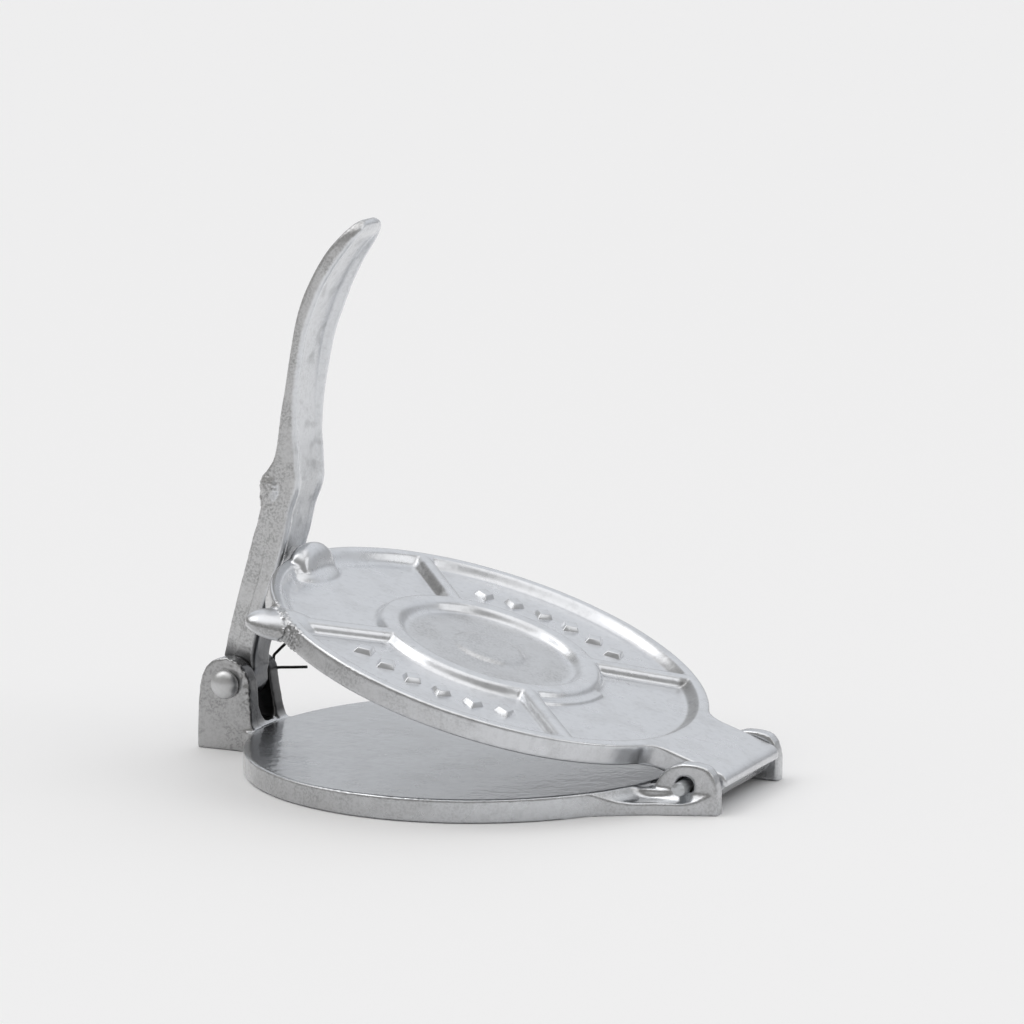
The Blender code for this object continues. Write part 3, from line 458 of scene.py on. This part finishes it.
tail += [(HINGE.x + 8.2, HINGE.z - 4.0), (HINGE.x + 9.0, HINGE.z - 2.7), (HINGE.x + 10.1, HINGE.z - 0.2),
         (HINGE.x + 11.7, HINGE.z + 3.4)]
tail += arc(HINGE.x + 12.4 - 3.8, LID_TOP - 3.8, 3.8, 0, 90, 8) + [(40, LID_TOP)]
tail_form = slab(tail, -NECK_HALF, NECK_HALF, SIDEWAYS, soft=0.8)
tail_form = cut(tail_form, bar((HINGE.x, -60, HINGE.z), (HINGE.x, 60, HINGE.z), 2.8))


def recess_tool():
    """The recess inside the rim, to be cut from what runs over the rim."""
    tool = spun([(0, 12.0), (72.9, 12.0), (73.6, 13.5), (74.6, 14.3), (76.2, 16.0), (77.3, 16.8), (77.3, 19),
                 (0, 19)], 200)
    bmesh.ops.transform(tool, matrix=LID_MIDDLE, verts=tool.verts)
    return tool


lid_forms.append(cut(tail_form, recess_tool()))
neck_y = NECK_HALF + NECK_BLEND
neck_x = LID_X + math.sqrt((LID_RADIUS + NECK_BLEND) ** 2 - neck_y ** 2)
neck_start = math.degrees(math.atan2(-neck_y, LID_X - neck_x))
for side in (1, -1):
    plan = arc(neck_x, neck_y, NECK_BLEND, neck_start, -90, 14)
    plan += [(neck_x, 22), (60, 22), (60, plan[0][1] - 1)]
    blend = slab([(x, side * y) for x, y in plan], LID_LOW, LID_TOP, soft=0.7)
    lid_forms.append(cut(blend, recess_tool()))
PAD_TOP = [(-84, 19.0), (-82.4, 20.8), (-80.6, 22.0), (-78.7, 22.5), (-76.7, 22.6), (-75.1, 22.2), (-73.6, 21.2),
           (-72.0, 19.2), (-70.4, 16.8), (-68.8, 15.0), (-66, 13.4)]
PAD_LOW = 12.9
pad = lump((1, 1, 1), Matrix.Identity(4), u_segments=96, v_segments=64)
for v in pad.verts:
    way, side, lift = (math.copysign(abs(c) ** power, c) for c, power in zip(v.co, (0.6, 0.8, 0.62)))
    x = -75.6 + 7.75 * way
    y = (12.0 * side - 0.6) * (1 - 0.44 * blend_at(-x, 77.6, 83.2))
    z = PAD_LOW + (lift * (along(PAD_TOP, x) - PAD_LOW) if lift > 0 else lift)
    v.co = (x, y, z)
lid_forms.append(pad)
skirt = lump((9.0, 15.5, 3.8), Matrix.Translation((-74.0, -1.5, 12.6)), u_segments=64)
lid_forms.append(cut(skirt, slab([(-95, -20), (-80.2, -20), (-81.4, 0), (-80.2, 20), (-95, 20)], 0, 30)))
lid_forms.append(lump((5.4, 8.6, 4.8), Matrix.Translation((-76.2, -7.2, 13.4)), u_segments=64))
TAB_ANGLE = -131.5
tab_place = around(TAB_ANGLE) @ Matrix.Translation((79.6, 0, 12.2))
tab = lump((14.1, 8.6, 5.5), tab_place)
for v in tab.verts:
    v.co.z = max(v.co.z, 8.9 - 1.5 * blend_at(math.hypot(v.co.x - LID_X, v.co.y), 83, 86.5))
lid_forms.append(tab)
lid_forms.append(lump((0.8, 9.0, 5.2), tab_place @ Matrix.Translation((3.2, 0, 0.6))))


def lid_crumbs(at):
    """Burnt-on sand along the rim on both sides of the tab's root."""
    radius = math.hypot(at.x - LID_X, at.y)
    if radius < 79 or at.x > -20 or at.y > -20:
        return 0.0
    angle = math.degrees(math.atan2(at.y, at.x - LID_X))
    ring = blend_at(radius, 79.2, 80.6) * blend_at(-radius, -84.4, -82.8)
    return 0.75 * ring * blend_at(-abs(angle - TAB_ANGLE - 0.8), -12, -8)


lid_body = welded("lid_casting", lid_forms, 0.5, lid_crumbs)
for v in lid_body.verts:
    if v.co.x < 75:
        v.co.z = max(v.co.z, LID_CLEAR)
MARK_LONG, MARK_SHORT, MARK_CIRCLE, MARK_PITCH, MARK_COUNT = 11.2, 8.6, 57.0, 11.5, 6
for middle in (-86.5, 89.5):
    for index in range(MARK_COUNT):
        angle = middle + MARK_PITCH * (index - (MARK_COUNT - 1) / 2)
        mark = bmesh.new()
        bmesh.ops.create_cone(mark, cap_ends=True, segments=4, radius1=0.54, radius2=0.32, depth=2.6,
                              matrix=around(angle) @ Matrix.Translation((MARK_CIRCLE, 0, LID_FLOOR + 0.5))
                              @ Matrix.Diagonal((MARK_LONG, MARK_SHORT, 1, 1)))
        bmesh.ops.bevel(mark, geom=mark.edges, offset=0.42, segments=3, profile=0.5, affect="EDGES", material=-1)
        joined(lid_body, mark)
hinge_turn = Matrix.Translation(HINGE) @ Matrix.Rotation(LID_OPEN, 4, "Y") @ Matrix.Translation(-HINGE)
lid = finished("lid_casting", lid_body, hinge_turn)
closed = hinge_turn.inverted()
level = closed.to_3x3()


def lid_marks(at, normal):
    """Sand shows on the lid's edge and round the tab, and hardly where the paint lay flat. Painted shade
    darkens the pressing face below."""
    at, normal = closed @ at, level @ normal
    radius, angle = math.hypot(at.x - LID_X, at.y), math.degrees(math.atan2(at.y, at.x - LID_X))
    upright = blend_at(-abs(normal.z), -0.8, -0.3)
    edge = blend_at(radius, 79, 80.8)
    under = blend_at(-normal.z, 0.6, 0.9)
    left = blend_at(-at.x, -50, 40)
    slope = blend_at(-normal.z, -0.97, -0.8)
    rim = blend_at(radius, 72, 74) * blend_at(-radius, -79, -77) * blend_at(-abs(angle - 10), -54, -34)
    wall = blend_at(radius, 44, 47) * blend_at(-radius, -73, -71)
    wall *= blend_at(angle, 128, 133) * blend_at(-angle, -160, -150) * blend_at(-normal.y, 0.05, 0.25)
    # Darker and grainier on the rim's inner slope at the right and on one slope of the wall at 136°.
    dull = slope * (0.8 * rim + 0.9 * wall)
    wear_and_shade = 0.14 * blend_at(noise.noise(at / 10 + Vector((3, 3, 3))), 0.1, 0.4)
    boss = 0.45 * blend_at(-radius, -31, -28) * (1 - under)
    grain = 0.04 + wear_and_shade + upright * edge * (0.1 + 0.75 * left) + 0.5 * lid_crumbs(at) + dull + boss
    # The second value is painted shade under the lid, with the darker slopes.
    return grain, 0.6 * under + 0.4 * dull


marked(lid, lid_marks)
lid.data.materials.append(silver_paint("silver paint, lid plate", (0.70, 0.715, 0.742),
                                    (0.46, 0.462, 0.467), 0.28, 0.07, 0.5))
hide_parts("lid_plate")
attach(lid, "lid")

# Press lever. A cast bar that hangs on the pin in the clevis, narrow at its foot and wide at the hand
# grip, with a knuckle halfway up its back, a shallow channel down its front and a panel in each side.
LEVER_LEAN = math.radians(17.7)
FOOT_RADIUS = 7.0
BAR_START = 6.7
BACK = [(6.7, -7.7), (16, -8.2), (36.8, -8.3), (56, -8.0), (65.6, -8.0), (68.2, -9.4), (72.5, -10.8),
        (75.7, -10.7), (81.5, -8.6), (84.5, -7.8), (90, -8.1), (100.9, -9.9), (111, -11.0), (124.9, -12.8),
        (136.6, -14.0), (144.4, -13.8), (152.4, -12.6), (159.7, -10.9), (165, -9.0), (171.7, -5.8),
        (174, -4.6), (175.6, -3.8), (176.5, -3.2), (177.1, -2.7), (177.5, -2.2)]
FRONT = [(6.7, 5.6), (10.7, 4.4), (16, 4.0), (31.7, 3.6), (47.5, 5.1), (60, 5.1), (69.6, 4.3), (74.9, 4.7),
         (79.6, 4.5), (84.6, 2.7), (89.7, 0.8), (94.7, -1.3), (108.5, -5.4), (120.9, -7.7), (130, -8.8),
         (134.6, -8.9), (145.6, -8.0), (151.4, -7.1), (157.7, -5.4), (162, -4.0), (165.2, -2.8), (169.6, -1.1),
         (172, -0.4), (174, 0.1), (175.4, 0.2), (176.4, 0.0), (177.1, -0.6), (177.5, -1.2)]
HALF = [(0, 6.6), (12, 6.6), (37, 8.7), (74, 10.7), (110, 11.2), (162, 11.3), (168, 11.2), (171.5, 10.7),
        (174, 9.5), (175.8, 7.8), (176.9, 5.9), (177.5, 4.0)]
CHANNEL = [(0, 0), (12, 0), (24, 0.4), (50, 0.7), (80, 1.0), (95, 1.1), (150, 1.1), (162, 1.7), (167, 1.7),
           (170, 1.2), (172, 0.5), (174, 0), (181, 0)]
FAR_RISE = [(0, 0), (96, 0.1), (108, 0.8), (126, 1.6), (140, 1.9), (151, 1.5), (160, 0.6), (166, 0.1), (171, -0.4),
            (175, -0.5), (179, -0.3)]


def lever_section(place):
    """The ring of the bar at one place: rounded sides, and two flanges with the channel between them."""
    if place < BAR_START:
        back = -math.sqrt(max(0.05, FOOT_RADIUS ** 2 - place * place))
        front = -back * 0.98
    else:
        back, front = along(BACK, place), along(FRONT, place)
    half, deep, rise = along(HALF, place), along(CHANNEL, place), along(FAR_RISE, place)
    edge, rim = min(1.3, (front - back) / 4, half / 4), min(5.0, half * 0.7)
    turn = edge + 1.8 * blend_at(place, 64, 72) * blend_at(-place, -81, -73)
    side = [(half - turn, back), (half - turn * 0.3, back + turn * 0.3), (half, back + turn),
            (half, front - edge), (half - edge * 0.3, front - edge * 0.3), (half - edge, front),
            (half - rim * 0.48, front - 0.04 * deep), (half - rim * 0.62, front - 0.5 * deep),
            (half - rim * 0.8, front - 0.9 * deep), (half * 0.25, front - deep)]
    far = [(y, t + rise * (1 if 2 < i < 8 else 0)) for i, (y, t) in enumerate(side)]
    return far + [(-y, t) for y, t in reversed(side)]


bar_body = bmesh.new()
places = [-6.9, -6.6, -5.9, -4.8, -3.2, -1.4, 1.0, 4.0] + [BAR_START + 2.2 * i for i in range(76)]
places += [173.2, 174.3, 175.2, 175.9, 176.5, 176.9, 177.25, 177.5]
before = None
for place in places:
    ring = [bar_body.verts.new((t, y, place)) for y, t in lever_section(place)]
    loop = [bar_body.edges.new(pair) for pair in zip(ring, ring[1:] + ring[:1])]
    if before:
        bmesh.ops.bridge_loops(bar_body, edges=before + loop)
    else:
        bar_body.faces.new(ring)
    before = loop
bar_body.faces.new(ring)
bmesh.ops.recalc_face_normals(bar_body, faces=bar_body.faces)
bar_body = cut(bar_body, bar((0, -20, 0), (0, 20, 0), 2.85))
PANEL_DEEP = 1.2
panel = [(-16, 4), (-16, 62.2), (-9, 61.8), (-6.6, 60.4), (-4.6, 58), (-3.0, 54.8), (-2.0, 51), (-1.6, 47),
         (-1.5, 40), (-1.9, 28), (-2.6, 20), (-3.4, 12), (-4.2, 4)]
for side in (1, -1):
    hollow = bmesh.new()
    sheet = hollow.faces.new([hollow.verts.new((t, side * 20, s)) for t, s in panel])
    made = bmesh.ops.extrude_face_region(hollow, geom=[sheet])["geom"]
    for v in made:
        if isinstance(v, bmesh.types.BMVert):
            v.co.y = side * (along(HALF, v.co.z) - PANEL_DEEP)
    bmesh.ops.recalc_face_normals(hollow, faces=hollow.faces)
    bar_body = cut(bar_body, hollow)


def lever_crumbs(at):
    """Burnt-on sand on the knuckle behind the bar, and a little all over its sides."""
    knuckle = blend_at(at.z, 64, 68) * blend_at(-at.z, -80, -74) * blend_at(-at.x, 1, 6)
    return 0.03 + 0.30 * knuckle


knuckle_turn = Matrix.Rotation(math.radians(-24), 4, "Y")
lever_forms = [bar_body]
for side in (1, -1):
    lever_forms.append(lump((4.6, 3.4, 6.0), Matrix.Translation((-6.0, side * 8.6, 74.2)) @ knuckle_turn))
lever_body = welded("lever_casting", lever_forms, 0.42, lever_crumbs)
lean = Matrix.Translation(PIVOT) @ Matrix.Rotation(LEVER_LEAN, 4, "Y")
lever = finished("lever_casting", lever_body, lean)
upright_bar = lean.inverted()


def lever_marks(at, normal):
    """The moulding sand shows all over the sides and the back, and less in the channel. Painted shade
    darkens the foot in the clevis and the front face above it, and the channel has dark smears."""
    at, normal = upright_bar @ at, upright_bar.to_3x3() @ normal
    front = blend_at(normal.x, 0.0, 0.4)
    # Painted shade on the foot in the clevis and on the lower front face.
    foot = max(blend_at(-at.z, -15, -8), front * blend_at(-at.z, -42, -16))
    channel = front * blend_at(-abs(at.y), -7.5, -5.5)
    knee = blend_at(at.z, 56, 72) * blend_at(-at.z, -96, -80)
    smear = channel * (0.22 * blend_at(noise.noise(at / 5), 0.1, 0.5) + 0.16 * knee)
    return 0.85 - 0.72 * front + 0.1 * channel + lever_crumbs(at), max(0.8 * foot, smear)


marked(lever, lever_marks)
lever.data.materials.append(silver_paint("silver paint, lever", (0.78, 0.80, 0.83), (0.55, 0.55, 0.552),
                                      0.30, 0.05, 0.6))
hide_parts("press_lever")
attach(lever, "lever")


# Lever pin. A turned steel pin that the lever swings on, painted with the press, with a domed head on the
# near ear. Its far end is cross drilled for the cotter that keeps it in.
def pin_look(name, colour, roughness, bumps):
    """Satin paint on turned steel."""
    look = bpy.data.materials.new(name)
    look.use_nodes = True
    nodes, links = look.node_tree.nodes, look.node_tree.links
    shader = nodes["Principled BSDF"]
    shader.inputs["Metallic"].default_value = 0.85
    spot = nodes.new("ShaderNodeTexCoord").outputs["Object"]
    cloud = nodes.new("ShaderNodeTexNoise")
    cloud.inputs["Scale"].default_value = 700
    cloud.inputs["Detail"].default_value = 3
    links.new(spot, cloud.inputs["Vector"])
    bump = nodes.new("ShaderNodeBump")
    bump.inputs["Distance"].default_value = bumps * MM
    bump.inputs["Strength"].default_value = 1.0
    links.new(cloud.outputs["Fac"], bump.inputs["Height"])
    links.new(bump.outputs["Normal"], shader.inputs["Normal"])
    tone = nodes.new("ShaderNodeMix")
    tone.data_type = "RGBA"
    tone.inputs["A"].default_value = (*[c * 0.8 for c in colour], 1)
    tone.inputs["B"].default_value = (*colour, 1)
    links.new(cloud.outputs["Fac"], tone.inputs["Factor"])
    links.new(tone.outputs["Result"], shader.inputs["Base Color"])
    wear_and_shade = nodes.new("ShaderNodeMapRange")
    wear_and_shade.inputs["To Min"].default_value = roughness - 0.06
    wear_and_shade.inputs["To Max"].default_value = roughness + 0.06
    links.new(cloud.outputs["Fac"], wear_and_shade.inputs["Value"])
    links.new(wear_and_shade.outputs["Result"], shader.inputs["Roughness"])
    return look


def creased(made, degrees=32):
    """Keeps the sharp edges of a turned piece."""
    made.data.set_sharp_from_angle(angle=math.radians(degrees))


HEAD_RADIUS, HEAD_HIGH, HEAD_BRIM = 5.3, 3.4, 1.1
dome = [(0, -HEAD_BRIM - HEAD_HIGH)]
for degrees in range(6, 91, 6):
    angle = math.radians(degrees)
    dome.append((HEAD_RADIUS * math.sin(angle), -HEAD_BRIM - HEAD_HIGH * math.cos(angle)))
dome += [(5.2, -0.35), (4.9, 0), (2.5, 0), (2.5, 32.8), (2.1, 33.2), (0, 33.2)]
pin = cut(spun(dome, 64), bar((-6, 0, 29.2), (6, 0, 29.2), 1.5, 24))
turn = Matrix.Translation(PIVOT + Vector((0, -13.95, 0))) @ Matrix.Rotation(math.radians(-90), 4, "X")
lever_pin = finished("lever_pin_turned", pin, turn)
creased(lever_pin)
lever_pin.data.materials.append(pin_look("satin silver, lever pin", (0.68, 0.685, 0.69), 0.38, 0.03))
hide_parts("lever_pin")
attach(lever_pin, "base")

# Hinge pin. A steel rod through both lugs and the lid's knuckle, with a small head on the far side and a
# sheared end that stands out of the near lug.
ROD = 2.45
rod = [(0, -2.4), (2.4, -2.3), (3.4, -1.7), (3.8, -0.8), (3.8, 0), (ROD, 0)]
rod += [(ROD, 8 * i) for i in range(1, 9)] + [(ROD, 66.2), (2.2, 66.9), (1.2, 67.0), (0, 66.8)]
rod_body = spun(rod, 40)
for v in rod_body.verts:
    if v.co.z > 66:
        v.co.z += 0.35 * noise.noise(v.co * 0.9) - 0.18 * v.co.x - 0.35
        v.co.x += 0.25 * noise.noise(v.co * 0.7 + Vector((3, 1, 2)))
turn = Matrix.Translation(HINGE + Vector((0, 31.15, 0))) @ Matrix.Rotation(math.radians(90), 4, "X")
hinge_pin = finished("hinge_pin_turned", rod_body, turn)
creased(hinge_pin)
hinge_pin.data.materials.append(pin_look("satin silver, hinge pin", (0.60, 0.62, 0.64), 0.36, 0.05))
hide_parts("hinge_pin")
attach(hinge_pin, "base")

# Cotter pin. One black wire bent double: the eye on one side of the lever pin, two legs spread apart on
# the other, one bent up and one left nearly level.
WIRE = 0.55
EYE, GAP = 1.9, 0.66
route = [(8.85, 10.2), (6.8, 8.3), (5.1, 6.6), (4.2, 5.75), (3.8, 5.0), (3.75, 4.0), (3.75, 3.0), (3.8, 2.1),
         (3.7, 1.4), (3.5, 0.9), (3.2, GAP), (-3.2, GAP)]
mouth = math.degrees(math.asin(GAP / EYE))
route += arc(-5.5, 0, EYE, mouth, 360 - mouth, 20)
route += [(-3.2, -GAP), (2.5, -GAP), (3.1, -0.5), (3.9, -0.04), (4.8, 0.5), (5.6, 0.88), (7.0, 1.08),
          (11.5, 1.5), (17.5, 2.14)]
wire = bpy.data.curves.new("cotter", "CURVE")
wire.dimensions = "3D"
wire.bevel_depth = WIRE
wire.bevel_resolution = 4
wire.use_fill_caps = True
line = wire.splines.new("POLY")
line.points.add(len(route) - 1)
for point, (x, z) in zip(line.points, route):
    point.co = (x, 0, z, 1)
strand = bpy.data.objects.new("cotter", wire)
bpy.context.scene.collection.objects.link(strand)
strand_body = applied(strand)
bmesh.ops.remove_doubles(strand_body, verts=strand_body.verts, dist=0.001)
bmesh.ops.recalc_face_normals(strand_body, faces=strand_body.faces)
cotter = finished("cotter_wire", strand_body, Matrix.Translation(PIVOT + Vector((0, 15.6, 0))))
creased(cotter, 50)
cotter.data.materials.append(pin_look("black wire", (0.035, 0.034, 0.034), 0.42, 0.02))
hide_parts("cotter_pin")
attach(cotter, "base")

# Table and light. A white table that fills the view, a room with a pale ceiling and darker walls that the
# silver mirrors, and two wide soft lamps, the stronger one high at the left.
TOWARDS = Matrix.Rotation(math.radians(25.1), 4, "Z")
floor_body = bmesh.new()
bmesh.ops.create_grid(floor_body, x_segments=1, y_segments=1, size=14, matrix=TOWARDS)
floor = shown(floor_body, "table_top")
white = bpy.data.materials.new("white table")
white.use_nodes = True
paper = white.node_tree.nodes["Principled BSDF"]
paper.inputs["Base Color"].default_value = (0.94, 0.94, 0.945, 1)
paper.inputs["Roughness"].default_value = 0.7
paper.inputs["Specular IOR Level"].default_value = 0.2
floor.data.materials.append(white)

world = bpy.data.worlds.new("studio")
bpy.context.scene.world = world
world.use_nodes = True
sky = world.node_tree
background = sky.nodes["Background"]
direction = sky.nodes.new("ShaderNodeTexCoord")
split = sky.nodes.new("ShaderNodeSeparateXYZ")
sky.links.new(direction.outputs["Generated"], split.inputs["Vector"])


def soft_step(value, low, high):
    """A smooth share from 0 to 1 between two values."""
    made = sky.nodes.new("ShaderNodeMapRange")
    made.interpolation_type = "SMOOTHSTEP"
    made.inputs["From Min"].default_value = low
    made.inputs["From Max"].default_value = high
    sky.links.new(value, made.inputs["Value"])
    return made.outputs["Result"]


def blended(share, first, second):
    """Two colours of the room, the second by its share."""
    made = sky.nodes.new("ShaderNodeMix")
    made.data_type = "RGBA"
    sky.links.new(share, made.inputs["Factor"])
    for socket, colour in (("A", first), ("B", second)):
        if isinstance(colour, tuple):
            made.inputs[socket].default_value = (*colour, 1)
        else:
            sky.links.new(colour, made.inputs[socket])
    return made.outputs["Result"]


wall = blended(soft_step(split.outputs["Z"], 0.05, 0.48), (0.43, 0.435, 0.445), (0.78, 0.797, 0.825))
room = blended(soft_step(split.outputs["Y"], 0.30, 0.66), (0.33, 0.325, 0.315), wall)
room = blended(soft_step(split.outputs["Z"], 0.72, 0.93), room, (1.30, 1.29, 1.28))
sky.links.new(room, background.inputs["Color"])


def soft_lamp(name, towards, width, strength):
    """A wide soft lamp, far off in one direction."""
    lamp = bpy.data.lights.new(name, "SUN")
    lamp.angle = math.radians(width)
    lamp.energy = strength
    made = bpy.data.objects.new(name, lamp)
    bpy.context.scene.collection.objects.link(made)
    made.rotation_euler = Vector(towards).to_track_quat("Z", "Y").to_euler()


soft_lamp("soft lamp, left", (-0.60, -0.20, 0.775), 46, 0.66)
soft_lamp("soft lamp, right", (0.83, 0.09, 0.55), 36, 0.30)

# Camera. A long lens about 1.6 m away, at the photograph's angle. Its three angles, in radians, start from
# looking level along Y.
AZIMUTH, ELEVATION, ROLL = -0.4381, 0.1776, 0.0011
CAMERA_PLACE = (0.6737, -1.4072, 0.3724)
forward = Vector((math.sin(AZIMUTH) * math.cos(ELEVATION), math.cos(AZIMUTH) * math.cos(ELEVATION),
                  -math.sin(ELEVATION)))
right = Vector((math.cos(AZIMUTH), -math.sin(AZIMUTH), 0))
down = forward.cross(right)
across_way = right * math.cos(ROLL) + down * math.sin(ROLL)
down_way = down * math.cos(ROLL) - right * math.sin(ROLL)
lens = bpy.data.cameras.new("camera")
lens.lens = 158.2
lens.sensor_width = 36
lens.clip_end = 60
camera = bpy.data.objects.new("camera", lens)
bpy.context.scene.collection.objects.link(camera)
turned = Matrix((across_way, -down_way, -forward)).transposed().to_4x4()
camera.matrix_world = Matrix.Translation(CAMERA_PLACE) @ turned
bpy.context.scene.camera = camera
bpy.context.scene.view_settings.view_transform = "Standard"
